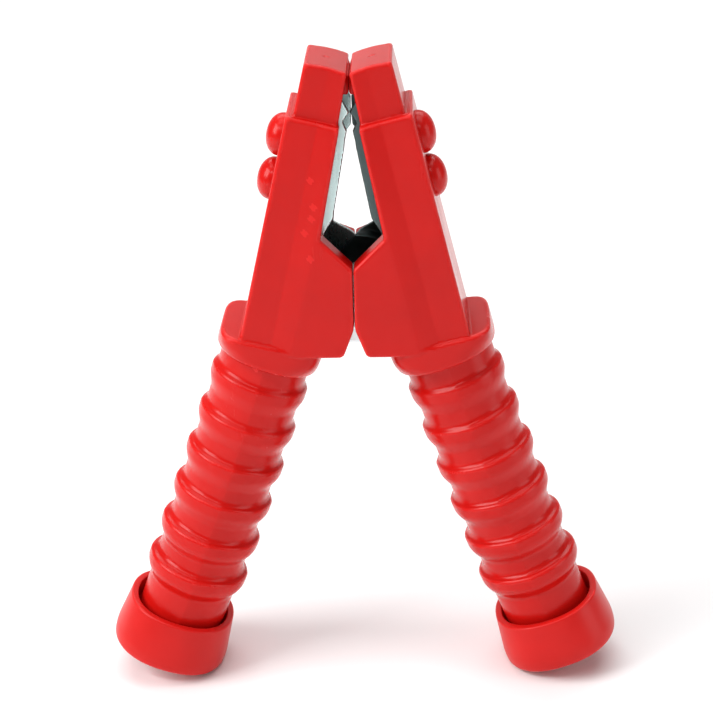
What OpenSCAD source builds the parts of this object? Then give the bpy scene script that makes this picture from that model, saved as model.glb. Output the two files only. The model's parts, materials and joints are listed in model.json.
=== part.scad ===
// Fully insulated spring clamp for a battery post, standing upright on its two handle ends.
// +Z runs up through the jaws, X is the way the jaws open and Y is the pivot's direction.
// The origin is on the ground under the pivot. The right half is drawn, and the left mirrors it.

/* [Pivot] */
// Height of the pivot above the handle ends
pivot_z = 93.6; // [93:0.1:94.5]
// Radius of the pivot rivet's shaft
pivot_r = 2.5; // [2:0.1:3]
// Gap between each cheek's butt face and the centre plane
butt_gap = 0.15; // [0.1:0.05:0.4]

/* [Jaw cover] */
// Outer top corner of the main housing, from the centre plane
ledge_x = 14.05; // [13:0.05:15]
// Height of that corner
ledge_z = 143.6; // [142:0.1:145]
// Lean of the housing's outer wall from vertical
jaw_lean = 13.54; // [12:0.1:14]
// Half depth of the nose
nose_half_y = 10.2; // [9.8:0.1:11]
// Half depth of the housing at its top ledge
ledge_half_y = 12.1; // [11.5:0.1:13]
// Angle at which the housing grows deeper towards the pivot
depth_draft = 1.4; // [0.5:0.1:1.8]
// Distance of the front crease from the outer wall
crease_w = 7.4; // [6:0.1:9]
// Width of the sloping band inside the crease
band_w = 4.8; // [3:0.1:6]
// How far the cheek stands proud of the outer band
band_rise = 1; // [0.5:0.1:1.5]
// Thickness of the outer wall beside the steel jaw
wall_t = 3.9; // [3.5:0.1:4]

/* [Handle] */
// Centre of the handle's end face, from the centre plane
handle_x = 49.65; // [48:0.05:50]
// Lean of the handle from vertical
handle_lean = 19.55; // [18:0.05:20]
// Half width of the handle between ribs
core_half_x = 10.8; // [10.4:0.1:11.2]
// Half depth of the handle between ribs
core_half_y = 11.3; // [10.9:0.1:11.8]
// Radius of the hollow for the cable
hollow_r = 8.3; // [8.1:0.1:8.5]
// Number of ribs
rib_count = 6; // [4:1:6]
// Distance from rib to rib
rib_pitch = 10.5; // [9.5:0.1:10.5]
// Place of the lowest rib along the handle
rib_first = 23.3; // [22:0.1:24]
// Height of a rib along the handle
rib_h = 5; // [3.5:0.1:5]
// How far the lowest rib stands proud
rib_proud = 1.8; // [1.2:0.1:2.2]
// How much less each rib stands proud than the one below it
rib_fade = 0.14; // [0:0.02:0.2]
// Place of the collar's lower edge along the handle
collar_s = 84; // [83:0.1:85]
// Depth of the collar's top below the housing's outer corner
collar_top = 53.6; // [53:0.1:54.5]
// Half depth of the collar
collar_half_y = 14.2; // [13.8:0.1:14.4]

/* [End collar] */
// Height of the cup along the handle
cup_h = 12.7; // [12:0.1:16]
// Half width of the cup at the end
cup_half_x = 14.4; // [14:0.1:15]
// Half depth of the cup at the end
cup_half_y = 15.3; // [15:0.1:16]
// How much narrower the cup's rim is on each side
cup_flare = 1.2; // [0.5:0.1:1.4]
// Thickness of the cup's floor
cup_floor = 3; // [2:0.1:4]
// Radius of the cable inlet
inlet_r = 6.5; // [5:0.1:7.5]

/* [Steel jaw] */
// Thickness of the pressed steel
steel_t = 1.2; // [1:0.1:1.4]
// Half width of the steel channel
channel_half_y = 8; // [7.6:0.1:8]
// Sideways clearance between the nested ears
ear_gap = 0.3; // [0.3:0.1:0.5]
// Distance from tooth to tooth
tooth_pitch = 4.4; // [4:0.1:5]
// Number of teeth on each edge
tooth_count = 2; // [1:1:2]
// Half width of the tail that carries the terminal
tail_half_y = 5.5; // [5:0.1:6]

/* [Torsion spring] */
// Thickness of the spring's wire
wire_d = 1.8; // [1.6:0.1:2]
// Radius of the coil to the middle of its wire
coil_r = 6.1; // [5.9:0.1:6.2]
// Half length of the coil along the pivot
coil_half_y = 4.3; // [3.5:0.1:4.5]

/* [Rivets and terminal] */
// Radius of the dome of a push rivet at its base
dome_r = 5; // [4:0.1:5.5]
// Height of the dome
dome_h = 3.6; // [3:0.1:4.2]
// Place of the lower stud below the ledge
stud_low = 17.9; // [16:0.1:19]
// Distance between the two studs
stud_pitch = 10.6; // [10.4:0.1:12]
// Place of the terminal screw along the handle
terminal_s = 64.5; // [60:0.5:68]

/* [Hidden] */
$fn = 64;

red = [0.80, 0.08, 0.05];
zinc = [0.72, 0.75, 0.76];
spring_steel = [0.62, 0.65, 0.66];
brass = [0.80, 0.66, 0.35];

long = 80;                                   // longer than any cut it is used for
run_fit = 0.06;                              // radial clearance of the pivot in its turning holes
pocket_half_y = channel_half_y + 0.2;        // hollow for the steel channel
pocket_floor = 89.6;                         // height of the hollow's floor in the cheek
cheek_z = 86.8;                              // height of the cheek's underside
cheek_low_x = 2.7;                           // lower inner corner of the cheek
inner_w = 12.24;                             // inner edge of the housing's ledge
ledge_drop = 1;                              // the housing runs this far into the collar
front_shoulder = [7.2, 115.2];               // corner where the jaw's inner edge meets the cheek
rear_shoulder = [7.7, 112.7];                // the same corner on the rear wall
front_notch = 108.1;                         // height of the notch where the cheeks meet
rear_notch = 109.4;
hollow_top = 84;                             // the round hollow's upper end along the handle
hollow_link = 11;                            // it runs on this far, behind a wall, to meet the pocket
link_wall = 2.1;                             // thickness of that wall
tongue_half_y = 7.6;                         // tongue that closes the gap between the noses
tongue_z = [147.2, 151.2];                   // its lower and upper edge on the centre plane
nose_top = 12.1;                             // height of the nose's outer corner above the ledge
nose_w = [1.6, 11.3, 12.15];                 // the nose's outer wall, inner wall at its top and at its foot
nose_rise = 0.5;                             // how far the nose's inner part stands proud
grip_top = 87.5;                             // the grip's core ends inside the collar
collar_half_x = 12.4;
collar_round = 8;
left_ear_y = channel_half_y;                 // outer faces of the nested ears
right_ear_y = channel_half_y - steel_t - ear_gap;
joggle_in = 16.5;                            // ring round the pivot in which the right flange steps in
joggle_out = 18;
head_r = 5;                                  // rivet heads and washers
washer_t = 1;
head_t = 1.7;
tail_t0 = 2.2;                               // tail's inner face, outward of the handle's axis
core_round = 9.6;                            // corner radius of the handle's cross-section
cup_round = 13;                              // corner radius of the cup
cup_chamfer = 1.1;                           // chamfer round the cup's end
screw_r = 2.4;
handle_z = (cup_half_x - cup_chamfer) * sin(handle_lean);   // the cup's lower edge is on the ground

// A point of the jaw: w inward from the housing's outer wall, h above the ledge
function jaw(w, h) = [
    ledge_x - w * cos(jaw_lean) - h * sin(jaw_lean),
    ledge_z - w * sin(jaw_lean) + h * cos(jaw_lean)
];

// Points of an arc round a centre, from one angle to another
function arc(centre, r, from, to, steps = 8) = [
    for (i = [0 : steps])
        let (a = from + (to - from) * i / steps)
        centre + r * [cos(a), sin(a)]
];

// Extrudes an outline drawn in X and Z through the depth, from y0 to y1 and its mirror image
module plate_pair(y0, y1) {
    for (side = [0, 1]) mirror([0, side, 0])
        translate([0, y1, 0]) rotate([90, 0, 0]) linear_extrude(y1 - y0) children();
}

// Extrudes an outline drawn in X and Z from the centre plane to the front or to the rear
module half_slab(half_y, rear) {
    translate([0, rear ? half_y : 0, 0]) rotate([90, 0, 0]) linear_extrude(half_y) children();
}

// Extrudes an outline drawn in X and Z evenly to both sides of the centre plane
module slab(half_y) {
    rotate([90, 0, 0]) linear_extrude(2 * half_y, center = true) children();
}

// Places a child in the jaw's frame: x outward from the outer wall, z up along it
module in_jaw() {
    translate([ledge_x, 0, ledge_z]) rotate([0, -jaw_lean, 0]) children();
}

// Places a child in the handle's frame: z up along the handle from its end
module in_handle() {
    translate([handle_x, 0, handle_z]) rotate([0, -handle_lean, 0]) children();
}

// A rod along the pivot's axis
module on_pivot(r, half_y) {
    translate([0, 0, pivot_z]) rotate([90, 0, 0]) cylinder(r = r, h = 2 * half_y, center = true);
}

// A rectangle with round corners
module rounded(hx, hy, r) {
    square([2 * hx, 2 * (hy - r)], center = true);
    square([2 * (hx - r), 2 * hy], center = true);
    for (sx = [-1, 1], sy = [-1, 1]) translate([sx * (hx - r), sy * (hy - r)]) circle(r);
}

// The left half is the right half's mirror image
module left() {
    mirror([1, 0, 0]) children();
}

/* Cover */

// Front and back of the housing: an outer band, a crease, a sloping band and the cheek's plane
module creased_block() {
    wide = 45;
    for (side = [0, 1]) mirror([0, side, 0])
        in_jaw() translate([0, -ledge_half_y, 0]) rotate([-depth_draft, 0, 0])
            translate([0, 0, -long]) linear_extrude(long + 20) polygon([
                [20, 0],
                [-crease_w, 0],
                [-crease_w - band_w, -band_rise],
                [-wide, -band_rise],
                [-wide, ledge_half_y + 4],
                [20, ledge_half_y + 4]
            ]);
}

// Side view of one wall of the housing, down to its notch and the cheek's underside
module housing_side(shoulder, notch_z) {
    polygon([
        jaw(0, 0),
        jaw(inner_w, 0),
        shoulder,
        [butt_gap + 0.8, notch_z + 0.75],
        [butt_gap, notch_z - 0.4],
        [butt_gap, pivot_z],
        [cheek_low_x - 0.6, cheek_z + 1.2],
        [cheek_low_x + 0.9, cheek_z],
        [24, cheek_z],
        jaw(0, -collar_top - ledge_drop)
    ]);
}

module housing() {
    intersection() {
        creased_block();
        union() {
            half_slab(30, rear = false) housing_side(front_shoulder, front_notch);
            half_slab(30, rear = true) housing_side(rear_shoulder, rear_notch);
        }
    }
}

module nose() {
    foot = -6;
    slab(tongue_half_y) polygon([
        [butt_gap, tongue_z[0]],
        [butt_gap, tongue_z[1]],
        jaw(nose_w[1] - 0.3, nose_top - 0.5),
        jaw(8, 11),
        jaw(8, 4.5)
    ]);
    in_jaw() intersection() {
        slab(nose_half_y + band_rise) polygon([
            [-nose_w[0], foot],
            [-nose_w[0], nose_top],
            [-7, nose_top + 0.4],
            [-nose_w[1], nose_top - 0.1],
            [-nose_w[2], foot]
        ]);
        translate([0, 0, -10]) linear_extrude(30) for (side = [0, 1]) mirror([0, side]) polygon([
            [0, -1],
            [0, nose_half_y],
            [-crease_w, nose_half_y],
            [-crease_w - band_w, nose_half_y + nose_rise],
            [-15, nose_half_y + nose_rise],
            [-15, -1]
        ]);
    }
}

// One rounded rib of the handle
module rib(s, proud) {
    half = rib_h / 2;
    steps = 4;
    hx = core_half_x + proud;
    hy = core_half_y + proud;
    translate([0, 0, s]) intersection() {
        translate([0, 0, -half]) linear_extrude(rib_h) rounded(hx, hy, core_round + proud);
        slab(long) rib_profile(core_half_x, proud, steps);
        rotate([0, 0, 90]) slab(long) rib_profile(core_half_y, proud, steps);
    }
}

// A rib's silhouette: two half ellipses on a core
module rib_profile(core, proud, steps) {
    right_side = [for (i = [-steps : steps]) [
        core - 0.6 + (proud + 0.6) * cos(90 * i / steps),
        rib_h / 2 * sin(90 * i / steps)
    ]];
    last = len(right_side) - 1;
    polygon(concat(right_side, [for (i = [last : -1 : 0]) [-right_side[i][0], right_side[i][1]]]));
}

module grip() {
    in_handle() {
        translate([0, 0, cup_floor]) linear_extrude(grip_top - cup_floor)
            rounded(core_half_x, core_half_y, core_round);
        for (i = [0 : rib_count - 1]) rib(rib_first + i * rib_pitch, rib_proud - i * rib_fade);
    }
    handle_collar();
}

// Collar round the handle's upper end. Its top is square to the housing's outer wall.
module handle_collar() {
    intersection() {
        in_handle() translate([0, 0, collar_s]) linear_extrude(20)
            rounded(collar_half_x, collar_half_y, collar_round);
        in_jaw() translate([-long / 2, -long / 2, -collar_top - long]) cube(long);
    }
}

// Hollow for the steel jaw, the spring and the cable
module cover_hollow() {
    slab(pocket_half_y) intersection() {
        polygon([jaw(wall_t, 9.2), jaw(20, 9.2), [-10, front_notch], [-10, 40], jaw(wall_t, -58)]);
        translate([-10, pocket_floor]) square([60, 80]);
    }
    intersection() {
        in_handle() translate([0, 0, hollow_top - 1]) cylinder(r = hollow_r, h = hollow_link + 1);
        slab(pocket_half_y + 1)
            polygon([jaw(link_wall, 0), jaw(30, 0), jaw(30, -long), jaw(link_wall, -long)]);
    }
    on_pivot(4.9, pocket_half_y);
    on_pivot(coil_r + wire_d / 2 + 0.7, coil_half_y + 0.7);
    on_pivot(head_r + 0.8, channel_half_y + washer_t + head_t + 0.8);
    in_handle() translate([0, 0, -1]) cylinder(r = hollow_r, h = hollow_top + 1);
    stud_holes();
}

// Holes for the push rivets, through the cover's outer wall and the steel
module stud_holes() {
    for (h = [-stud_low, stud_pitch - stud_low])
        in_jaw() translate([1, 0, h]) rotate([0, -90, 0]) cylinder(r = 2.1, h = 8);
}

module cover() {
    color(red) difference() {
        union() {
            housing();
            nose();
            grip();
        }
        cover_hollow();
    }
}

/* End collar */

module end_collar() {
    color(red) in_handle() difference() {
        intersection() {
            linear_extrude(cup_h) rounded(cup_half_x, cup_half_y, cup_round);
            slab(long) cup_profile(cup_half_x);
            rotate([0, 0, 90]) slab(long) cup_profile(cup_half_y);
        }
        translate([0, 0, cup_floor]) linear_extrude(cup_h)
            rounded(core_half_x + 0.1, core_half_y + 0.1, core_round + 0.1);
        translate([0, 0, cup_h - 5]) linear_extrude(cup_h)
            rounded(core_half_x + 0.7, core_half_y + 0.8, core_round + 0.7);
        translate([0, 0, -1]) cylinder(r = inlet_r, h = cup_h);
    }
}

// Silhouette of the cup, with a small chamfer at its end
module cup_profile(half) {
    polygon([
        [half - cup_chamfer, 0], [half, cup_chamfer], [half - cup_flare, cup_h],
        [cup_flare - half, cup_h], [-half, cup_chamfer], [cup_chamfer - half, 0]
    ]);
}

/* Steel jaw */

// Side view of a jaw: toothed nose, straight edge, ear round the pivot. The rear ear stands higher.
module jaw_side(rear) {
    first_tip = 138.9;
    ear_r = 3.8;
    edge = [[1.3, 135.2], [4.4, 118.5]];
    front_ear = [
        [6.2, 115.6], [7, 113.4], [3.9, 110.4], [1.9, 108.3], [0.6, 107.4], [-1, 106.9], [-3.5, 105.4]
    ];
    rear_ear = [
        [4.9, 113.3], [1.3, 111.2], [0.4, 110.5], [-0.4, 109.6], [-2.5, 107.6], [-4, 105.2]
    ];
    teeth = [for (i = [tooth_count - 1 : -1 : 0]) each [
        [max(0.12, 0.75 - 0.15 * i * tooth_pitch), first_tip + i * tooth_pitch],
        [max(1.2, 1.95 - 0.1 * i * tooth_pitch), first_tip + (i - 0.5) * tooth_pitch]
    ]];
    polygon(concat(
        [jaw(wall_t + 0.8, 8.8), jaw(10.1, 8.8), jaw(10.2, 6.7)],
        teeth,
        edge,
        rear ? rear_ear : front_ear,
        arc([0, pivot_z], 7.5, 140, 180, 4),
        arc([0, pivot_z], ear_r, 180, 280),
        [[8, pocket_floor + 0.6], jaw(wall_t + 2, -48.8), jaw(wall_t + 0.8, -48.4)]
    ));
}

module web() {
    in_jaw() translate([-wall_t - 0.2 - steel_t, -channel_half_y, -50])
        cube([steel_t, 2 * channel_half_y, 59]);
}

module tail() {
    in_handle() translate([tail_t0, -tail_half_y, terminal_s - 8])
        cube([steel_t, 2 * tail_half_y, 94.5 - terminal_s + 8]);
}

module terminal_hole() {
    in_handle() translate([0, 0, terminal_s]) rotate([0, 90, 0]) cylinder(r = screw_r + 0.1, h = 8);
}

// Both flanges of a channel, from y0 to y1 on each side
module flanges(y0, y1) {
    for (rear = [false, true]) intersection() {
        half_slab(long, rear) jaw_side(rear);
        plate_pair(y0, y1) translate([-30, pivot_z - 4.4]) square([80, 70]);
    }
}

module left_steel() {
    difference() {
        union() {
            flanges(left_ear_y - steel_t, left_ear_y);
            web();
            tail();
        }
        on_pivot(pivot_r + 0.03, long);
        stud_holes();
        terminal_hole();
    }
}

module right_steel() {
    difference() {
        union() {
            difference() {
                flanges(channel_half_y - steel_t, channel_half_y);
                on_pivot(joggle_in, long);
            }
            intersection() {
                flanges(right_ear_y - steel_t, right_ear_y);
                on_pivot(joggle_out, long);
            }
            difference() {
                intersection() {
                    flanges(right_ear_y - steel_t, channel_half_y);
                    on_pivot(joggle_out, long);
                }
                on_pivot(joggle_in, long);
            }
            web();
            tail();
        }
        on_pivot(pivot_r + run_fit, long);
        stud_holes();
        terminal_hole();
    }
}

/* Push rivets */

// Domed head on the outer wall, shank through the wall and the steel, formed end inside
module stud(h) {
    ball_r = (dome_r * dome_r + dome_h * dome_h) / (2 * dome_h);
    color(red) in_jaw() translate([0, 0, h]) rotate([0, 90, 0]) {
        intersection() {
            translate([0, 0, dome_h - ball_r]) sphere(ball_r);
            cylinder(r = dome_r + 1, h = dome_h + 1);
        }
        translate([0, 0, -wall_t - steel_t - 1.4]) cylinder(r = 2, h = wall_t + steel_t + 1.5);
        translate([0, 0, -wall_t - steel_t - 1.4]) cylinder(r = 3, h = 1.1);
    }
}

/* Pivot */

module pivot_rivet() {
    end = channel_half_y + washer_t;
    color(zinc) translate([0, 0, pivot_z]) rotate([90, 0, 0]) {
        cylinder(r = pivot_r, h = 2 * end, center = true);
        for (side = [0, 1]) mirror([0, 0, side]) translate([0, 0, end]) rivet_head();
    }
}

// A shallow domed head
module rivet_head() {
    r = head_r - 0.6;
    ball_r = (r * r + head_t * head_t) / (2 * head_t);
    intersection() {
        translate([0, 0, head_t - ball_r]) sphere(ball_r);
        cylinder(r = head_r, h = head_t);
    }
}

module washer(side) {
    color(zinc) mirror([0, side, 0]) translate([0, -channel_half_y, pivot_z]) rotate([90, 0, 0])
        difference() {
            cylinder(r = head_r, h = washer_t);
            translate([0, 0, -1]) cylinder(r = pivot_r + 0.1, h = washer_t + 2);
        }
}

module spring_spool() {
    half = right_ear_y - steel_t - 0.2;
    color(brass) translate([0, 0, pivot_z]) rotate([90, 0, 0]) difference() {
        cylinder(r = coil_r - wire_d / 2 - 0.4, h = 2 * half, center = true);
        cylinder(r = pivot_r + run_fit, h = long, center = true);
    }
}

module torsion_spring() {
    color(spring_steel) {
        translate([0, 0, pivot_z]) rotate([90, 0, 0]) difference() {
            cylinder(r = coil_r + wire_d / 2 + 0.1, h = 2 * coil_half_y, center = true);
            cylinder(r = coil_r - wire_d / 2 - 0.1, h = long, center = true);
        }
        spring_leg(-coil_half_y + wire_d / 2 + 0.2);
        left() spring_leg(coil_half_y - wire_d / 2 - 0.2);
    }
}

// A straight leg from the top of the coil to the inside of the jaw's tail
module spring_leg(y) {
    fall = 38;
    leg_l = 24.1;
    translate([0, y, pivot_z]) rotate([0, 90 + fall, 0]) translate([-coil_r, 0, 0]) {
        cylinder(d = wire_d, h = leg_l);
        translate([0, 0, leg_l]) sphere(d = wire_d);
    }
}

/* Terminal */

module terminal_screw() {
    head_x = tail_t0 - 1.5;
    color(zinc) in_handle() translate([0, 0, terminal_s]) rotate([0, 90, 0]) difference() {
        union() {
            translate([0, 0, head_x - 2.6]) cylinder(r = 4.4, h = 2.6);
            translate([0, 0, head_x]) cylinder(r = screw_r, h = 6.6);
        }
        translate([0, 0, head_x - 2]) cube([1.2, 12, 2], center = true);
    }
}

module terminal_plate() {
    color(brass) in_handle() difference() {
        translate([tail_t0 - 1.5, -5, terminal_s - 6]) cube([1.5, 10, 12]);
        translate([0, 0, terminal_s]) rotate([0, 90, 0]) cylinder(r = screw_r + 0.1, h = 8);
    }
}

module terminal_nut() {
    color(zinc) in_handle() translate([tail_t0 + steel_t, 0, terminal_s]) rotate([0, 90, 0])
        difference() {
            cylinder(r = 4.4, h = 3, $fn = 6);
            translate([0, 0, -1]) cylinder(r = screw_r + 0.05, h = 5);
        }
}

left() cover();  // left_cover
cover();  // right_cover
left() end_collar();  // left_end_collar
end_collar();  // right_end_collar
color(zinc) left() left_steel();  // left_jaw
color(zinc) right_steel();  // right_jaw
left() stud(stud_pitch - stud_low);  // left_upper_stud
left() stud(-stud_low);  // left_lower_stud
stud(stud_pitch - stud_low);  // right_upper_stud
stud(-stud_low);  // right_lower_stud
pivot_rivet();
washer(0);  // front_washer
washer(1);  // rear_washer
spring_spool();
torsion_spring();
left() terminal_screw();  // left_terminal_screw
left() terminal_plate();  // left_terminal_plate
left() terminal_nut();  // left_terminal_nut
terminal_screw();  // right_terminal_screw
terminal_plate();  // right_terminal_plate
terminal_nut();  // right_terminal_nut
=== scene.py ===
"""Looks of a fully insulated spring clamp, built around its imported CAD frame.

The moulded covers and the pressed steel jaws are meshed from distance fields, so that every edge has
its real fillet. Cups, domes and the spring are lofted and swept. Lengths in the modelling code are in
millimetres and become metres when a mesh is made.
"""

import json
import math

import bmesh
import bpy
import numpy as np
from mathutils import Matrix, Vector


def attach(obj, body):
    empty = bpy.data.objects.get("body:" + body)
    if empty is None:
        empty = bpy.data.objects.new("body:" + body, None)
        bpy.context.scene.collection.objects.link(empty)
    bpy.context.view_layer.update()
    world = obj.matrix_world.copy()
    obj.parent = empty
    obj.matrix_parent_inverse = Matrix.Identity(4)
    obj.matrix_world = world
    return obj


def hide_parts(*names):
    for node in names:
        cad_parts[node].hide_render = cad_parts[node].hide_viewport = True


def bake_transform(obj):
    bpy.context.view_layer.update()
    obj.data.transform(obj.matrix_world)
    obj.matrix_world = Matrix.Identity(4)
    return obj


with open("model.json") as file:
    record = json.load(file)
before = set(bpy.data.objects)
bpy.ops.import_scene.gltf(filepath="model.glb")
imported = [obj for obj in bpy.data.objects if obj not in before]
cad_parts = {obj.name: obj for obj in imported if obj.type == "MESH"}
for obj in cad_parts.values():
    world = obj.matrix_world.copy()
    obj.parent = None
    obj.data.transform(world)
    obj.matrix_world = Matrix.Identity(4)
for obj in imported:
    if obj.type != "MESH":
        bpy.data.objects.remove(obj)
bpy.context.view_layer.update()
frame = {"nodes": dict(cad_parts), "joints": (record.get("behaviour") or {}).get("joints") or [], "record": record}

MM = 0.001
LEFT, RIGHT = "left_half", "right_half"

# ---------------------------------------------------------------- dimensions, in mm

hinge = frame["joints"][0]
PIVOT_Z = hinge["pos_m"][2] / MM

LEDGE = np.array([14.05, 143.6])          # outer top corner of the housing, X and Z
JAW_LEAN = math.radians(13.54)            # the housing's outer wall from vertical
NOSE_HALF_Y = 10.2
LEDGE_HALF_Y = 12.1                       # half depth of the housing at its ledge
INNER_W = 12.24                           # inner edge of the housing's ledge
DEPTH_DRAFT = math.tan(math.radians(1.4)) # the housing grows deeper towards the pivot
CREASE_W = 7.4                            # front crease, inward from the outer wall
BAND_W = 4.8                              # sloping band inside the crease
BAND_RISE, NOSE_RISE = 1.0, 0.5           # how far the inner part stands proud on housing and nose
NOSE_W = (11.3, 12.15)                    # inner wall of the nose, at its top and at its foot
NOSE_H = (12, -6)                         # heights of that top and foot, from the ledge
NOSE_EDGE, NOSE_RIDGE = (1.6, 12.1), (7, 12.5)   # points of the nose's roof, w and h
ROOF_SLOPES = (0.074, 0.115)              # slopes of the roof outward and inward of its ridge
GATE, GATE_R = (6.2, 13.1), 1.0           # a ball that presses a small moulding mark into the roof
TONGUE_Z, TONGUE_H = 147.2, 11            # lower and upper end of the tongue between the noses
TONGUE_X, TONGUE_HALF_Y = 5, 7.6
LIP_X, LIP_GAP = 1.9, 0.03                # the tongue's lip, which reaches to the centre plane
WALL_T = 3.9                              # outer wall beside the steel
BUTT_GAP = 0.12                           # from each cheek's butt face to the centre plane
SHOULDER = {"front": (7.2, 115.2), "rear": (7.7, 112.5)}   # corner of inner edge and cheek, X and Z
NOTCH_Z = {"front": 108.1, "rear": 109.4} # height at which the cheeks meet
CHEEK_Z, CHEEK_LOW_X = 86.8, 2.7          # the cheek's underside and its inner corner
LEDGE_DROP = 1.5                          # the housing runs this far into the collar

CUP_H, CUP_FLOOR, CUP_FLARE = 12.7, 3.0, 1.2
CUP_HALF = np.array([14.4, 15.3])
CUP_CHAMFER = 1.1
INLET_R = 6.5

HANDLE_LEAN = math.radians(19.55)
HANDLE_X = 49.65
HANDLE_END = np.array([HANDLE_X, (CUP_HALF[0] - CUP_CHAMFER) * math.sin(HANDLE_LEAN)])
HANDLE_BOW, BOW_LENGTH = 0.8, 92          # the soft grips bow a little towards each other
GRIP_LIFT, GRIP_TOP = 0.05, 88            # the grip's ends, above the cup's floor and inside the collar
CORE_HALF = np.array([10.8, 11.3])        # half width and half depth between ribs
CORE_POWER = 2.35                         # how square the handle's cross-section is
FRONT_CREASE, CREASE_SOFT = 0.15, 0.2     # slope and bluntness of the ridge down front and rear
RIB_COUNT, RIB_PITCH, RIB_FIRST = 6, 10.5, 23.3
RIB_H, RIB_PROUD, RIB_FADE = 5.0, 1.8, 0.14   # each rib stands less proud than the one below
RIB_SLOPES = np.radians([22, 40])         # lean of a rib's upper and lower flank
COLLAR_S, COLLAR_TOP = 84.0, 53.6         # lower edge on the handle, top below the ledge
COLLAR_HALF = np.array([12.4, 14.2])
COLLAR_POWER, COLLAR_TURN = (2.45, 4.75), 5   # it grows squarer upward, over this length

HOLLOW_R, HOLLOW_TOP = 8.3, 84            # the round hollow for the cable
HOLLOW_LINK, LINK_WALL = 11, 2.1          # it runs on this far, behind a wall, to meet the pocket
POCKET_H, POCKET_FLOOR, POCKET_GAP = 9.2, 89.6, 0.2   # top, floor and side gap round the steel
EAR_ROOM_R, COIL_GAP = 4.9, 0.7           # room round the ears and round the coil
HEAD_ROOM_R, HEAD_ROOM_Y = 5.8, 3.5       # the recess for the rivet's heads, beyond the channel

STEEL_T = 1.2
STEEL_H = 9                               # top of the steel, above the ledge
CHANNEL_HALF_Y = 8.0
EAR_STEP = 1.5                            # how far the right jaw's ears step in to nest
JOGGLE_R = (16.5, 18.0)                   # ring round the pivot in which they step in
TOOTH_TIP, TOOTH_PITCH, TOOTH_COUNT = 138.9, 4.4, 2   # height of the lowest tip, then the spacing
TURNING_HOLE_R, FIXED_HOLE_R = 2.56, 2.53
TAIL_T0, TAIL_HALF_Y, TAIL_S = 2.2, 5.5, (56.5, 94.5) # the strip that runs into the handle

DOME_R, DOME_H = 5.0, 3.6
STUD_LOW, STUD_PITCH = 17.9, 10.6         # place of the lower stud below the ledge

WIRE_D, WIRE_SEGMENTS = 1.8, 14
COIL_R, COIL_HALF_Y, COIL_TURNS = 6.1, 4.3, 4
LEG_FALL, LEG_LENGTH = math.radians(38), 24.1   # the spring's legs, from level


# ---------------------------------------------------------------- frames

def jaw_frame(x, z):
    """w inward from the housing's outer wall, h above its ledge."""
    dx, dz = x - LEDGE[0], z - LEDGE[1]
    c, s = math.cos(JAW_LEAN), math.sin(JAW_LEAN)
    return -(dx * c + dz * s), dz * c - dx * s


def jaw_point(w, h):
    """The X and Z of a point given in the jaw's frame."""
    c, s = math.cos(JAW_LEAN), math.sin(JAW_LEAN)
    return LEDGE[0] - w * c - h * s, LEDGE[1] - w * s + h * c


def handle_frame(x, z):
    """t outward from the handle's axis, s up along it from its end."""
    dx, dz = x - HANDLE_END[0], z - HANDLE_END[1]
    c, s = math.cos(HANDLE_LEAN), math.sin(HANDLE_LEAN)
    return dx * c + dz * s, dz * c - dx * s


def bow(s):
    """How far the grip's middle line lies inward of the handle's straight axis."""
    u = np.clip(s / BOW_LENGTH, 0, 1)
    return HANDLE_BOW * 4 * u * (1 - u)


def handle_point(t, s):
    """The X and Z of a point given in the handle's frame."""
    c, sn = math.cos(HANDLE_LEAN), math.sin(HANDLE_LEAN)
    return HANDLE_END[0] + t * c - s * sn, HANDLE_END[1] + t * sn + s * c


# ---------------------------------------------------------------- distance fields

def both(a, b, r=0.0):
    """Intersection of two fields, its edge rounded to radius r."""
    if r <= 0:
        return np.maximum(a, b)
    return np.minimum(np.maximum(a, b), -r) + np.hypot(np.maximum(a + r, 0), np.maximum(b + r, 0))


def either(a, b, r=0.0):
    """Union of two fields, its inner corner filled to radius r."""
    if r <= 0:
        return np.minimum(a, b)
    return np.maximum(np.minimum(a, b), r) - np.hypot(np.maximum(r - a, 0), np.maximum(r - b, 0))


def smooth_step(u):
    u = np.clip(u, 0, 1)
    return u * u * (3 - 2 * u)


def soft_ramp(u, soft):
    """0 below 0 and 1 above 1, straight between, with both bends softened."""
    def bend(v):
        return 0.5 * (v + np.sqrt(v * v + soft * soft))
    return bend(u) - bend(u - 1)


def beyond(x, z, a, b):
    """Distance to the left of the line from a to b, in the X and Z plane."""
    dx, dz = b[0] - a[0], b[1] - a[1]
    return (dx * (z - a[1]) - dz * (x - a[0])) / math.hypot(dx, dz)


def oval(t, y, a, b, power):
    """Near distance to a rounded oval of half sizes a and b."""
    u, v = np.abs(t) / a, np.abs(y) / b
    return ((u ** power + v ** power + 1e-9) ** (1 / power) - 1) * np.minimum(a, b)


def outline_distance(x, z, points):
    """Signed distance to a closed outline in the X and Z plane, negative inside."""
    p = np.asarray(points, float)
    q = np.roll(p, -1, axis=0)
    x, z = np.broadcast_arrays(x, z)
    best = np.full(x.shape, np.inf)
    inside = np.zeros(x.shape, bool)
    for (ax, az), (bx, bz) in zip(p, q):
        ex, ez = bx - ax, bz - az
        wx, wz = x - ax, z - az
        k = np.clip((wx * ex + wz * ez) / (ex * ex + ez * ez), 0, 1)
        best = np.minimum(best, (wx - ex * k) ** 2 + (wz - ez * k) ** 2)
        crosses = (az > z) != (bz > z)
        slope = ex / ez if ez else 0.0
        inside ^= crosses & (x < ax + slope * (z - az))
    return np.where(inside, -1, 1) * np.sqrt(best)


# ---------------------------------------------------------------- the moulded cover

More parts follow.
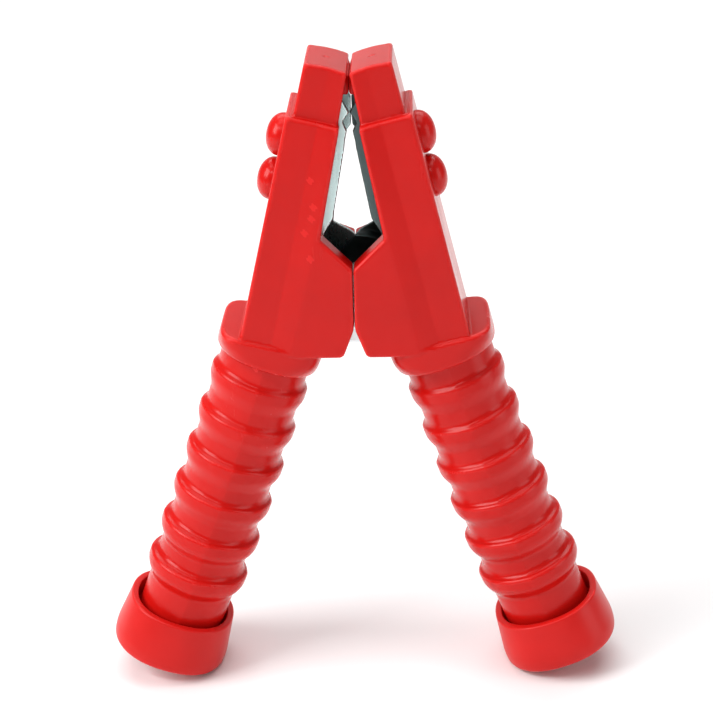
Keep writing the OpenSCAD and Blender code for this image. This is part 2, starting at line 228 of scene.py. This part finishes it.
def side_plan(x, z, wall):
    """The housing's inner outline on its front or rear wall, with the notch above the pivot."""
    shoulder, notch = SHOULDER[wall], (BUTT_GAP, NOTCH_Z[wall])
    inner = beyond(x, z, shoulder, jaw_point(INNER_W, 0))
    slant = beyond(x, z, notch, shoulder)
    vee = beyond(x, z, (CHEEK_LOW_X, CHEEK_Z), (BUTT_GAP, PIVOT_Z))
    return either(inner, both(slant, vee), r=0.4)


def band(w):
    """0 on the outer band of a face and 1 on its inner part, with the sloping band between."""
    return soft_ramp((w - CREASE_W) / BAND_W, soft=0.05)


def housing_field(x, y, z, w, h):
    face = np.abs(y) - (LEDGE_HALF_Y - DEPTH_DRAFT * h + BAND_RISE * band(w))
    plan = np.where(y < 0, side_plan(x, z, "front"), side_plan(x, z, "rear"))
    plan = both(both(plan, -w, r=0.8), h, r=0.5)
    plan = both(plan, CHEEK_Z - z, r=0.9)
    plan = both(plan, -COLLAR_TOP - LEDGE_DROP - h)
    return both(both(plan, face, r=0.8), BUTT_GAP - x, r=0.3)


def nose_roof(w, h):
    """The nose's top, which falls from a low ridge to both sides."""
    outer = h - NOSE_EDGE[1] - (w - NOSE_EDGE[0]) * ROOF_SLOPES[0]
    inner = h - NOSE_RIDGE[1] + (w - NOSE_RIDGE[0]) * ROOF_SLOPES[1]
    return both(outer, inner, r=0.4)


def tongue_side(x, z, h, reach):
    """Side view of the tongue between the noses, this far out from the centre plane."""
    return both(both(LIP_GAP - x, x - reach), both(TONGUE_Z - z, h - TONGUE_H))


def nose_field(x, y, z, w, h):
    face = np.abs(y) - (NOSE_HALF_Y + NOSE_RISE * band(w))
    foot = NOSE_H[1] + 1                  # inside the housing
    high, low = NOSE_W
    inner = w - high - (NOSE_H[0] - h) * (low - high) / (NOSE_H[0] - NOSE_H[1])
    plan = both(both(NOSE_EDGE[0] - w, inner, r=0.4), nose_roof(w, h), r=0.6)
    nose = both(both(plan, foot - h), face, r=0.7)
    gate = np.sqrt((w - GATE[0]) ** 2 + y * y + (h - GATE[1]) ** 2) - GATE_R
    nose = both(nose, -gate, r=0.15)
    tongue = both(tongue_side(x, z, h, TONGUE_X), np.abs(y) - TONGUE_HALF_Y, r=0.5)
    return either(nose, tongue, r=0.3)


def grip_field(y, t, s):
    t = t + bow(s)
    side = np.abs(y) + FRONT_CREASE * np.hypot(t, CREASE_SOFT)
    core = oval(t, side, *CORE_HALF, CORE_POWER)
    core = both(core, both(CUP_FLOOR + GRIP_LIFT - s, s - GRIP_TOP), r=0.4)
    index = np.clip(np.round((s - RIB_FIRST) / RIB_PITCH), 0, RIB_COUNT - 1)
    proud = RIB_PROUD - index * RIB_FADE
    along = s - RIB_FIRST - index * RIB_PITCH
    crest = oval(t, side, CORE_HALF[0] + proud, CORE_HALF[1] + proud, CORE_POWER)
    rise = crest + proud / 2
    upper = (along - RIB_H / 2) * math.cos(RIB_SLOPES[0]) + rise * math.sin(RIB_SLOPES[0])
    lower = (-along - RIB_H / 2) * math.cos(RIB_SLOPES[1]) + rise * math.sin(RIB_SLOPES[1])
    rib = both(both(crest, upper, r=0.55), lower, r=1.5)
    return either(core, rib, r=1.0)


def collar_field(y, t, s, h):
    low, high = COLLAR_POWER
    power = low + (high - low) * smooth_step((s - COLLAR_S) / COLLAR_TURN)
    sleeve = oval(t + bow(s), y, *COLLAR_HALF, power)
    return both(both(sleeve, h + COLLAR_TOP, r=0.8), COLLAR_S - s, r=1.0)


def hollow_field(x, y, z, w, h, s, t):
    """The space for the steel jaw, the spring, the rivet and the cable."""
    side = np.abs(y)
    channel = side - CHANNEL_HALF_Y - POCKET_GAP
    pocket = both(both(channel, WALL_T - w), both(h - POCKET_H, POCKET_FLOOR - z))
    r = np.hypot(x, z - PIVOT_Z)
    ears = both(r - EAR_ROOM_R, channel)
    coil = both(r - COIL_R - WIRE_D / 2 - COIL_GAP, side - COIL_HALF_Y - COIL_GAP)
    heads = both(r - HEAD_ROOM_R, side - CHANNEL_HALF_Y - HEAD_ROOM_Y)
    across = np.hypot(t, y) - HOLLOW_R
    bore = both(across, s - HOLLOW_TOP)
    link = both(both(across, s - HOLLOW_TOP - HOLLOW_LINK), LINK_WALL - w)
    hollow = pocket
    for other in (ears, coil, heads, bore, link):
        hollow = either(hollow, other)
    return hollow


def cover_field(x, y, z):
    w, h = jaw_frame(x, z)
    t, s = handle_frame(x, z)
    body = either(housing_field(x, y, z, w, h), nose_field(x, y, z, w, h), r=0.3)
    body = either(body, either(grip_field(y, t, s), collar_field(y, t, s, h), r=0.4), r=0.3)
    body = both(body, -hollow_field(x, y, z, w, h, s, t), r=0.25)
    lip = both(tongue_side(x, z, h, LIP_X), np.abs(y) - TONGUE_HALF_Y, r=0.4)
    return either(body, lip, r=0.1)


# ---------------------------------------------------------------- the pressed steel jaw

def arc(centre, r, start, stop, steps):
    angles = np.radians(np.linspace(start, stop, steps + 1))
    return [(centre[0] + r * math.cos(a), centre[1] + r * math.sin(a)) for a in angles]


BACK_W = WALL_T + 0.2                     # outer face of the channel's back
TOOTH_X = {"front": (0.65, 0.05), "rear": (0.05, 0.05)}    # tips from the centre plane, lowest first
VALLEY_X = {"front": (1.15, 1.55), "rear": (0.2, 0.1)}     # the valley below each tip
STRIP = [(1.3, 135.2), (4.4, 118.5)]      # the straight inner edge between the teeth and the ear
EAR_R, EAR_SHOULDER_R = 3.8, 7.5
EAR_TOP = {                               # the ear's upper edge, which stands higher on the rear wall
    "front": [
        (6.2, 115.6), (7.0, 113.4), (3.9, 110.4), (1.9, 108.3), (0.6, 107.4), (-1.0, 106.9), (-3.5, 105.4),
    ],
    "rear": [(4.9, 113.3), (1.3, 111.2), (0.4, 110.5), (-0.4, 109.6), (-2.5, 107.6), (-4.0, 105.2)],
}


def jaw_outline(wall):
    """Side view of a jaw: toothed nose, straight edge, ear round the pivot."""
    pivot = (0, PIVOT_Z)
    points = [jaw_point(BACK_W, STEEL_H), jaw_point(10.2, STEEL_H), jaw_point(10.3, 6.7)]
    for i in reversed(range(TOOTH_COUNT)):
        tip = TOOTH_TIP + i * TOOTH_PITCH
        points.append((TOOTH_X[wall][i], tip))
        points.append((VALLEY_X[wall][i], tip - TOOTH_PITCH / 2))
    points += STRIP + EAR_TOP[wall]
    points += arc(pivot, EAR_SHOULDER_R, 140, 180, 5) + arc(pivot, EAR_R, 180, 280, 10)
    points += [(8, 90.2), jaw_point(WALL_T + 2, -48.8), jaw_point(BACK_W, -50)]
    return points


def jaw_field(ear_step):
    """A jaw's field. Its ears step in by ear_step, so that the right jaw's nest in the left's."""
    front, rear = jaw_outline("front"), jaw_outline("rear")

    def field(x, y, z):
        w, h = jaw_frame(x, z)
        t, s = handle_frame(x, z)
        r = np.hypot(x, z - PIVOT_Z)
        step = ear_step * smooth_step((JOGGLE_R[1] - r) / (JOGGLE_R[1] - JOGGLE_R[0]))
        side = np.abs(y) + step
        outside = both(BACK_W - w, side - CHANNEL_HALF_Y, r=1.7)
        inside = both(BACK_W + STEEL_T - w, side - CHANNEL_HALF_Y + STEEL_T, r=0.6)
        plan = np.where(y < 0, outline_distance(x, z, front), outline_distance(x, z, rear))
        channel = both(both(outside, -inside), plan, r=0.12)
        tail = both(np.abs(t - TAIL_T0 - STEEL_T / 2) - STEEL_T / 2, np.abs(y) - TAIL_HALF_Y)
        tail = both(tail, both(TAIL_S[0] - s, s - TAIL_S[1]), r=0.2)
        hole = r - (TURNING_HOLE_R if ear_step else FIXED_HOLE_R)
        return both(either(channel, tail, r=0.4), -hole, r=0.1)

    return field


# ---------------------------------------------------------------- meshing

CORNERS = [(i, j, k) for i in (0, 1) for j in (0, 1) for k in (0, 1)]


def crossing_points(grid, cells):
    """For each cell, the mean of the places where the surface crosses the cell's edges."""
    points, hits = np.zeros((len(cells), 3)), np.zeros(len(cells))
    for a in CORNERS:
        for axis in range(3):
            if a[axis]:
                continue
            b = tuple(1 if n == axis else a[n] for n in range(3))
            va = grid[tuple((cells + a).T)].astype(float)
            vb = grid[tuple((cells + b).T)].astype(float)
            cut = (va < 0) != (vb < 0)
            share = np.where(cut, va / np.where(cut, va - vb, 1), 0)
            place = np.repeat(np.array(a, float)[None], len(cells), 0)
            place[:, axis] = share
            points[cut] += place[cut]
            hits[cut] += 1
    return cells + points / hits[:, None]


def cell_quads(inside, ids):
    """A quad between the four cells round each grid edge that the surface crosses."""
    counts = inside.shape
    quads = []
    for axis in range(3):
        u, v = (axis + 1) % 3, (axis + 2) % 3
        first = [slice(None)] * 3
        first[axis] = slice(0, -1)
        second = [slice(None)] * 3
        second[axis] = slice(1, None)
        a, b = inside[tuple(first)], inside[tuple(second)]
        edges = np.argwhere(a != b)
        edges = edges[(edges[:, u] > 0) & (edges[:, v] > 0)]
        edges = edges[(edges[:, u] < counts[u] - 1) & (edges[:, v] < counts[v] - 1)]
        around = []
        for du, dv in ((-1, -1), (0, -1), (0, 0), (-1, 0)):
            cell = edges.copy()
            cell[:, u] += du
            cell[:, v] += dv
            around.append(ids[tuple(cell.T)])
        ring = np.stack(around, 1)
        solid_first = a[tuple(edges.T)]
        quads.append(np.where(solid_first[:, None], ring, ring[:, ::-1]))
    return np.concatenate(quads)


def gradient(field, p, reach=0.02):
    parts = []
    for axis in range(3):
        d = np.zeros(3)
        d[axis] = reach
        ahead, behind = p + d, p - d
        parts.append((field(*ahead.T) - field(*behind.T)) / (2 * reach))
    return np.stack(parts, 1)


def pull(field, p, step):
    """Moves points onto the field's surface, by half a step at most."""
    slope = gradient(field, p)
    move = -field(*p.T)[:, None] * slope / np.maximum((slope ** 2).sum(1), 0.05)[:, None]
    far = np.linalg.norm(move, axis=1, keepdims=True)
    return p + move * np.minimum(1, 0.5 * step / np.maximum(far, 1e-9))


def relaxed(points, quads, ease=0.4):
    """Moves each point part of the way to the mean of its next points."""
    sides = np.concatenate([quads[:, [0, 1]], quads[:, [1, 2]], quads[:, [2, 3]], quads[:, [3, 0]]])
    total, number = np.zeros_like(points), np.zeros(len(points))
    np.add.at(total, sides[:, 0], points[sides[:, 1]])
    np.add.at(number, sides[:, 0], 1)
    mean = total / np.maximum(number, 1)[:, None]
    return points + ease * (mean - points)


def surface_of(field, low, high, step, relax=2):
    """Points, quads and normals of a field's zero surface, one point in each cell that it crosses."""
    counts = [int(math.ceil((b - a) / step)) + 1 for a, b in zip(low, high)]
    axes = [a + step * np.arange(n) for a, n in zip(low, counts)]
    grid = field(axes[0][:, None, None], axes[1][None, :, None], axes[2][None, None, :])
    grid = np.broadcast_to(grid, counts).astype(np.float32)
    inside = grid < 0
    nx, ny, nz = (n - 1 for n in counts)
    total = sum(inside[i:i + nx, j:j + ny, k:k + nz].astype(np.int8) for i, j, k in CORNERS)
    cells = np.argwhere((total > 0) & (total < len(CORNERS)))
    ids = np.full((nx, ny, nz), -1, np.int64)
    ids[tuple(cells.T)] = np.arange(len(cells))

    points = np.array(low) + step * crossing_points(grid, cells)
    quads = cell_quads(inside, ids)
    for _ in range(3):
        points = pull(field, points, step)
    for _ in range(relax):
        points = relaxed(points, quads)
        for _ in range(2):
            points = pull(field, points, step)
    normals = gradient(field, points)
    normals /= np.maximum(np.linalg.norm(normals, axis=1, keepdims=True), 1e-9)
    return points, quads, normals


def mirrored(points, quads, normals):
    """The same surface on the other side of the centre plane."""
    flip = np.array([-1, 1, 1])
    return points * flip, quads[:, ::-1], normals * flip


def mesh_object(name, points, faces, normals=None):
    """A shaded object from points in mm and faces."""
    mesh = bpy.data.meshes.new(name)
    mesh.from_pydata((np.asarray(points) * MM).tolist(), [], [list(map(int, f)) for f in faces])
    mesh.validate()
    mesh.update()
    mesh.polygons.foreach_set("use_smooth", [True] * len(mesh.polygons))
    if normals is not None and len(mesh.vertices) == len(normals):
        mesh.normals_split_custom_set_from_vertices(np.asarray(normals).tolist())
    piece = bpy.data.objects.new(name, mesh)
    bpy.context.scene.collection.objects.link(piece)
    return piece


def lofted(rings, closed):
    """Quads between rings of equal length. A closed loft joins its last ring to its first."""
    n, count = len(rings[0]), len(rings)
    faces = []
    for i in range(count if closed else count - 1):
        a, b = i * n, (i + 1) % count * n
        for j in range(n):
            k = (j + 1) % n
            faces.append((a + j, a + k, b + k, b + j))
    return np.concatenate(rings), faces


def outward(piece):
    """Makes a closed mesh's faces look outward."""
    work = bmesh.new()
    work.from_mesh(piece.data)
    bmesh.ops.recalc_face_normals(work, faces=work.faces)
    work.to_mesh(piece.data)
    work.free()
    return piece


def rounded_profile(corners, steps=6):
    """Points along a closed profile of (place, radius) corners, each turned into an arc-like curve."""
    points = []
    n = len(corners)
    for i, (place, radius) in enumerate(corners):
        p = np.array(place, float)
        if radius <= 0:
            points.append(p)
            continue
        before, after = np.array(corners[i - 1][0], float), np.array(corners[(i + 1) % n][0], float)
        a = p + (before - p) / np.linalg.norm(before - p) * radius
        b = p + (after - p) / np.linalg.norm(after - p) * radius
        for k in range(steps + 1):
            u = k / steps
            points.append((1 - u) ** 2 * a + 2 * u * (1 - u) * p + u * u * b)
    return points


# ---------------------------------------------------------------- pieces

def make_covers():
    low, high = (-0.6, -15.4, 0.6), (61.5, 15.4, 156.2)
    step = 0.55
    points, quads, normals = surface_of(cover_field, low, high, step)
    return {
        RIGHT: mesh_object("cover_right", points, quads, normals),
        LEFT: mesh_object("cover_left", *mirrored(points, quads, normals)),
    }


def make_jaws():
    low, high = (-8.0, -8.6, 50.0), (37.0, 8.6, 153.5)
    step = 0.28
    right = surface_of(jaw_field(EAR_STEP), low, high, step, relax=1)
    left = surface_of(jaw_field(0.0), low, high, step, relax=1)
    return {
        RIGHT: mesh_object("steel_jaw_right", *right),
        LEFT: mesh_object("steel_jaw_left", *mirrored(*left)),
    }


def oval_ring(s, a, b, power, side, segments=128):
    """A ring round the handle's axis at s, as points in mm."""
    angle = np.linspace(0, 2 * math.pi, segments, endpoint=False)
    c, n = np.cos(angle), np.sin(angle)
    t = np.sign(c) * np.abs(c) ** (2 / power) * a
    y = np.sign(n) * np.abs(n) ** (2 / power) * b
    x, z = handle_point(t, s)
    return np.stack([side * x, y, z], 1)


def make_cup(name, side):
    """The flared cup at a handle's end, with its rim, its step and its cable inlet."""
    wide, deep = CUP_HALF
    core, core_deep = CORE_HALF
    mouth, seat, step = core + 0.7, core + 0.1, CUP_H - 5
    corners = [                           # radius and height of a corner, then how far it is rounded
        ((INLET_R, 0), 0.5), ((wide - 0.15, 0), 1.5), ((wide, 3), 1.0), ((wide - CUP_FLARE, CUP_H), 0.55),
        ((mouth + 0.05, CUP_H), 0.4), ((mouth, step), 0.4),
        ((seat + 0.02, step - 0.4), 0.3), ((seat, CUP_FLOOR), 0.3),
        ((INLET_R, CUP_FLOOR), 0.5),
    ]
    rings = []
    for r, s in rounded_profile(corners):
        share = smooth_step((r - INLET_R) / (core - INLET_R))
        extra = np.interp(r, [INLET_R, core, wide], [0, core_deep - core, deep - wide])
        power = 2 + 0.25 * float(share)
        rings.append(oval_ring(s, r, r + extra, power, side))
    return outward(mesh_object(name, *lofted(rings, closed=True)))


def make_stud(name, side, h):
    """A domed push rivet on a cover's outer wall, with its shank and formed end."""
    segments, steps = 64, 16
    inner, shank_r, head_r, skirt, tip_r = -WALL_T - STEEL_T, 2.0, 3.0, 0.12, 0.01
    profile = [(tip_r, inner - 1.4), (head_r - 0.1, inner - 1.4), (head_r, inner - 0.6)]
    profile += [(shank_r, inner - 0.3), (shank_r, -0.2), (DOME_R, -skirt), (DOME_R, skirt)]
    for i in range(1, steps):
        a = math.pi / 2 * i / steps
        profile.append((DOME_R * math.cos(a) ** 0.92, skirt + (DOME_H - skirt) * math.sin(a)))
    profile.append((tip_r, DOME_H))
    angle = np.linspace(0, 2 * math.pi, segments, endpoint=False)
    rings = []
    for r, out in profile:
        x, z = jaw_point(-out, h + r * np.sin(angle))
        rings.append(np.stack([side * x, r * np.cos(angle), z], 1))
    points, faces = lofted(rings, closed=False)
    faces.append(tuple(range(segments)))
    faces.append(tuple(range(len(points) - segments, len(points))))
    return outward(mesh_object(name, points, faces))


def swept(path, r, segments=WIRE_SEGMENTS):
    """Rings of a round wire along a path, without twist."""
    path = np.asarray(path, float)
    tangent = np.gradient(path, axis=0)
    tangent /= np.linalg.norm(tangent, axis=1, keepdims=True)
    angle = np.linspace(0, 2 * math.pi, segments, endpoint=False)
    normal = np.cross(tangent[0], [0.3, 0.1, 1.0])
    rings = []
    for p, d in zip(path, tangent):
        normal = normal - d * (normal @ d)
        normal /= np.linalg.norm(normal)
        binormal = np.cross(d, normal)
        rings.append(p + r * (np.cos(angle)[:, None] * normal + np.sin(angle)[:, None] * binormal))
    return rings


def make_spring():
    """A torsion spring: a leg down each handle and four turns of wire between them."""
    steps = 48
    half = COIL_HALF_Y - WIRE_D / 2 - 0.2
    start = math.pi / 2 - LEG_FALL
    sweep = COIL_TURNS * 2 * math.pi + 2 * LEG_FALL

    def on_coil(angle, y):
        return [COIL_R * math.cos(angle), y, PIVOT_Z + COIL_R * math.sin(angle)]

    path = []
    top = on_coil(start, -half)
    for d in np.linspace(LEG_LENGTH, 1, 24):
        path.append([top[0] + d * math.cos(LEG_FALL), -half, top[2] - d * math.sin(LEG_FALL)])
    count = COIL_TURNS * steps
    for i in range(count + 1):
        u = i / count
        path.append(on_coil(start + u * sweep, -half + 2 * half * smooth_step(u * 1.06 - 0.03)))
    last = on_coil(start + sweep, half)
    for d in np.linspace(1, LEG_LENGTH, 24):
        path.append([last[0] - d * math.cos(LEG_FALL), half, last[2] - d * math.sin(LEG_FALL)])
    points, faces = lofted(swept(path, WIRE_D / 2), closed=False)
    faces.append(tuple(range(WIRE_SEGMENTS)))
    faces.append(tuple(range(len(points) - WIRE_SEGMENTS, len(points))))
    return outward(mesh_object("coil_spring", points, faces))


# ---------------------------------------------------------------- materials

class Graph:
    """A short way to write a node material."""

    def __init__(self, name):
        self.material = bpy.data.materials.new(name)
        self.material.use_nodes = True
        self.nodes = self.material.node_tree.nodes
        self.links = self.material.node_tree.links
        self.nodes.clear()
        self.shader = self.nodes.new("ShaderNodeBsdfPrincipled")
        output = self.nodes.new("ShaderNodeOutputMaterial")
        self.links.new(self.shader.outputs["BSDF"], output.inputs["Surface"])
        self.place = self.nodes.new("ShaderNodeTexCoord").outputs["Object"]

    def set(self, **values):
        for key, value in values.items():
            self.shader.inputs[key.replace("_", " ")].default_value = value
        return self

    def noise(self, scale, detail=2.0, rough=0.5, stretch=None):
        node = self.nodes.new("ShaderNodeTexNoise")
        node.inputs["Scale"].default_value = scale
        node.inputs["Detail"].default_value = detail
        node.inputs["Roughness"].default_value = rough
        source = self.place
        if stretch:
            mapping = self.nodes.new("ShaderNodeMapping")
            mapping.inputs["Scale"].default_value = stretch
            self.links.new(source, mapping.inputs["Vector"])
            source = mapping.outputs["Vector"]
        self.links.new(source, node.inputs["Vector"])
        return node.outputs["Fac"]

    def spread(self, value, low, high, to_low, to_high):
        node = self.nodes.new("ShaderNodeMapRange")
        for key, number in zip(("From Min", "From Max", "To Min", "To Max"), (low, high, to_low, to_high)):
            node.inputs[key].default_value = number
        self.links.new(value, node.inputs["Value"])
        return node.outputs["Result"]

    def math(self, operation, a, b):
        node = self.nodes.new("ShaderNodeMath")
        node.operation = operation
        for socket, value in zip(node.inputs, (a, b)):
            if isinstance(value, (int, float)):
                socket.default_value = value
            else:
                self.links.new(value, socket)
        return node.outputs[0]

    def blend_colors(self, share, a, b):
        node = self.nodes.new("ShaderNodeMix")
        node.data_type = "RGBA"
        self.links.new(share, node.inputs["Factor"])
        for key, value in (("A", a), ("B", b)):
            socket = [s for s in node.inputs if s.name == key and s.type == "RGBA"][0]
            if isinstance(value, tuple):
                socket.default_value = value
            else:
                self.links.new(value, socket)
        return [s for s in node.outputs if s.type == "RGBA"][0]

    def bump(self, height, strength, distance, before=None):
        node = self.nodes.new("ShaderNodeBump")
        node.inputs["Strength"].default_value = strength
        node.inputs["Distance"].default_value = distance
        self.links.new(height, node.inputs["Height"])
        if before is not None:
            self.links.new(before, node.inputs["Normal"])
        return node.outputs["Normal"]

    def edges(self, low, high):
        """1 on convex edges and 0 on flat faces."""
        node = self.nodes.new("ShaderNodeNewGeometry")
        return self.spread(node.outputs["Pointiness"], low, high, 0, 1)

    def feed(self, socket, value):
        self.links.new(value, self.shader.inputs[socket])
        return self


def red_plastic(name, color, dull):
    """Glossy injection-moulded plastic: cloudy colour, orange peel, fine scuffs and rubbed edges."""
    g = Graph(name)
    cloud = g.noise(42, detail=3, rough=0.55)
    scuff = g.noise(900, detail=4, rough=0.65, stretch=(1.0, 1.0, 0.12))
    peel = g.noise(620, detail=2, rough=0.5)
    grain = g.noise(3600, detail=2, rough=0.6)
    worn = g.edges(0.515, 0.56)
    paler = tuple(min(1.0, c * 1.35 + 0.015) for c in color[:3]) + (1,)
    darker = tuple(c * 0.86 for c in color[:3]) + (1,)
    base = g.blend_colors(g.spread(cloud, 0.3, 0.7, 0, 1), darker, color)
    base = g.blend_colors(g.math("MULTIPLY", worn, 0.5), base, paler)
    g.feed("Base Color", base)
    rough = g.spread(cloud, 0.25, 0.75, dull - 0.05, dull + 0.06)
    rough = g.math("ADD", rough, g.spread(scuff, 0.55, 0.8, 0, 0.04))
    g.feed("Roughness", g.math("ADD", rough, g.math("MULTIPLY", worn, 0.08)))
    normal = g.bump(peel, strength=0.07, distance=0.00005)
    normal = g.bump(scuff, strength=0.015, distance=0.00003, before=normal)
    g.feed("Normal", g.bump(grain, strength=0.03, distance=0.00002, before=normal))
    g.set(Specular_IOR_Level=0.22, Coat_Weight=0.0, Subsurface_Weight=0.04)
    g.set(Subsurface_Radius=(0.004, 0.0006, 0.0004), Subsurface_Scale=0.6)
    return g.material


def zinc_steel(name, color, dull, brushed=(1.0, 1.0, 1.0)):
    """Bright zinc plate over pressed steel: drawn grain, mottled plating and brighter edges."""
    g = Graph(name)
    drawn = g.noise(1400, detail=3, rough=0.6, stretch=brushed)
    mottle = g.noise(160, detail=4, rough=0.6)
    worn = g.edges(0.51, 0.55)
    tint = tuple(c * 0.78 for c in color[:3]) + (1,)
    bright = tuple(min(1.0, c * 1.15) for c in color[:3]) + (1,)
    base = g.blend_colors(g.spread(mottle, 0.35, 0.65, 0, 1), tint, color)
    g.feed("Base Color", g.blend_colors(worn, base, bright))
    rough = g.spread(mottle, 0.3, 0.7, dull - 0.06, dull + 0.08)
    g.feed("Roughness", g.math("ADD", rough, g.spread(drawn, 0.4, 0.7, 0, 0.1)))
    g.feed("Normal", g.bump(drawn, strength=0.12, distance=0.00003))
    g.set(Metallic=1.0)
    return g.material


def paint(piece, material):
    piece.data.materials.clear()
    piece.data.materials.append(material)


# ---------------------------------------------------------------- the object

COVER_RED = (0.60, 0.007, 0.005, 1)
CUP_RED = (0.62, 0.010, 0.008, 1)
cover_red = red_plastic("moulded_red", COVER_RED, 0.22)
cup_red = red_plastic("cup_red", CUP_RED, 0.32)
zinc = zinc_steel("zinc_jaw", (0.58, 0.72, 0.71, 1), 0.24, brushed=(1.0, 1.0, 0.08))
# painted shade: the right jaw is the same zinc plate as the left jaw, given a much darker colour to stand for the
# shade it lies in
painted_shade_zinc = zinc_steel("painted_shade_zinc_jaw", (0.10, 0.135, 0.135, 1), 0.30, brushed=(1.0, 1.0, 0.08))
fastener = zinc_steel("zinc_fastener", (0.72, 0.75, 0.76, 1), 0.28)
wire = zinc_steel("spring_wire", (0.62, 0.66, 0.67, 1), 0.22, brushed=(1.0, 0.1, 1.0))
brass = zinc_steel("brass", (0.80, 0.60, 0.28, 1), 0.30)

for body, cover in make_covers().items():
    side = body.split("_")[0]
    paint(cover, cover_red)
    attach(cover, body)
    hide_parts(f"{side}_cover")

for body, jaw in make_jaws().items():
    side = body.split("_")[0]
    # the right jaw gets the darker copy of the zinc, which is painted shade
    paint(jaw, painted_shade_zinc if body == RIGHT else zinc)
    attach(jaw, body)
    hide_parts(f"{side}_jaw")

for body, sign in ((LEFT, -1), (RIGHT, 1)):
    side = body.split("_")[0]
    cup = make_cup(f"cup_{side}", sign)
    paint(cup, cup_red)
    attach(cup, body)
    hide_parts(f"{side}_end_collar")
    for level, h in (("upper", STUD_PITCH - STUD_LOW), ("lower", -STUD_LOW)):
        stud = make_stud(f"stud_{side}_{level}", sign, h)
        paint(stud, cover_red)
        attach(stud, body)
        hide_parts(f"{side}_{level}_stud")

spring = make_spring()
paint(spring, wire)
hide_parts("torsion_spring")
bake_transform(spring)

finishes = {"zinc_fastener": fastener, "brass": brass, "zinc_jaw": zinc, "spring_wire": wire}
slots = {part["node"]: part["material_slot"] for part in frame["record"]["subparts"]}
for name, node in frame["nodes"].items():
    material = finishes.get(slots[name], cover_red)
    node.data.materials.clear()
    node.data.materials.append(material)

# ---------------------------------------------------------------- camera, light and floor

TARGET = Vector((-0.00014, 0, 0.08163))
DISTANCE, LENS, FILM = 0.4524, 95.77, 36  # metres, and millimetres of lens and film
ELEVATION, AZIMUTH, ROLL = math.radians(21.66), math.radians(1.9), math.radians(1.59)

back = Vector((math.sin(AZIMUTH) * math.cos(ELEVATION),
               -math.cos(AZIMUTH) * math.cos(ELEVATION), math.sin(ELEVATION)))
right = Vector((math.cos(AZIMUTH), math.sin(AZIMUTH), 0))
up = back.cross(right)
tilted_right = right * math.cos(ROLL) - up * math.sin(ROLL)
tilted_up = right * math.sin(ROLL) + up * math.cos(ROLL)
camera_data = bpy.data.cameras.new("camera")
camera_data.lens = LENS
camera_data.sensor_width = FILM
camera_data.clip_start, camera_data.clip_end = 0.01, 20
camera = bpy.data.objects.new("camera", camera_data)
turn = Matrix((tilted_right, tilted_up, back)).transposed().to_4x4()
camera.matrix_world = Matrix.Translation(TARGET + back * DISTANCE) @ turn
bpy.context.scene.collection.objects.link(camera)
bpy.context.scene.camera = camera


def area_light(name, place, aim, size, power, color=(1, 1, 1)):
    data = bpy.data.lights.new(name, "AREA")
    data.shape = "RECTANGLE"
    data.size, data.size_y = size
    data.energy = power
    data.color = color
    light = bpy.data.objects.new(name, data)
    light.location = place
    light.rotation_euler = (Vector(aim) - Vector(place)).to_track_quat("-Z", "Y").to_euler()
    bpy.context.scene.collection.objects.link(light)


middle = (0, 0, 0.08)
area_light("key_left", (-0.9, -0.35, 0.75), middle, (0.7, 0.7), 12.5)
area_light("front_top", (-0.3, -0.7, 0.95), middle, (0.9, 0.04), 2.6)
area_light("fill_right", (0.9, -0.25, 0.35), middle, (0.5, 0.7), 2.5)
area_light("sweep_top", (0.0, 1.0, 1.3), (0, 0.9, 0), (1.6, 0.8), 12.5)
area_light("overhead", (0.0, 0.0, 1.4), (0, 0, 0), (1.2, 0.8), 7)

world = bpy.data.worlds.new("studio")
world.use_nodes = True
background = world.node_tree.nodes["Background"]
background.inputs["Color"].default_value = (1, 1, 1, 1)
background.inputs["Strength"].default_value = 0.18
bpy.context.scene.world = world
bpy.context.scene.view_settings.view_transform = "Standard"


def make_sweep():
    """A sheet of white paper: a level floor that curves up behind the clamp."""
    half_width, front, flat, rise, bend, steps = 3.0, -2.0, 1.6, 2.4, 0.8, 12
    line = [(front, 0.0), (0.0, 0.0), (flat, 0.0)]
    for i in range(1, steps + 1):
        a = math.pi / 2 * i / steps
        line.append((flat + bend * math.sin(a), bend * (1 - math.cos(a))))
    line.append((flat + bend, rise))
    columns = 13
    xs = np.linspace(-half_width, half_width, columns)
    points = [(x / MM, y / MM, z / MM) for y, z in line for x in xs]
    faces = []
    for i in range(len(line) - 1):
        for j in range(columns - 1):
            k = i * columns + j
            faces.append((k, k + 1, k + columns + 1, k + columns))
    sweep = mesh_object("paper_sweep", points, faces)
    g = Graph("white_paper")
    tone = g.spread(g.noise(3, detail=2), 0.3, 0.7, 0, 1)
    g.feed("Base Color", g.blend_colors(tone, (0.90, 0.90, 0.90, 1), (0.93, 0.93, 0.93, 1)))
    g.feed("Normal", g.bump(g.noise(500, detail=3), strength=0.05, distance=0.0001))
    g.set(Roughness=0.9, Specular_IOR_Level=0.1)
    paint(sweep, g.material)


make_sweep()
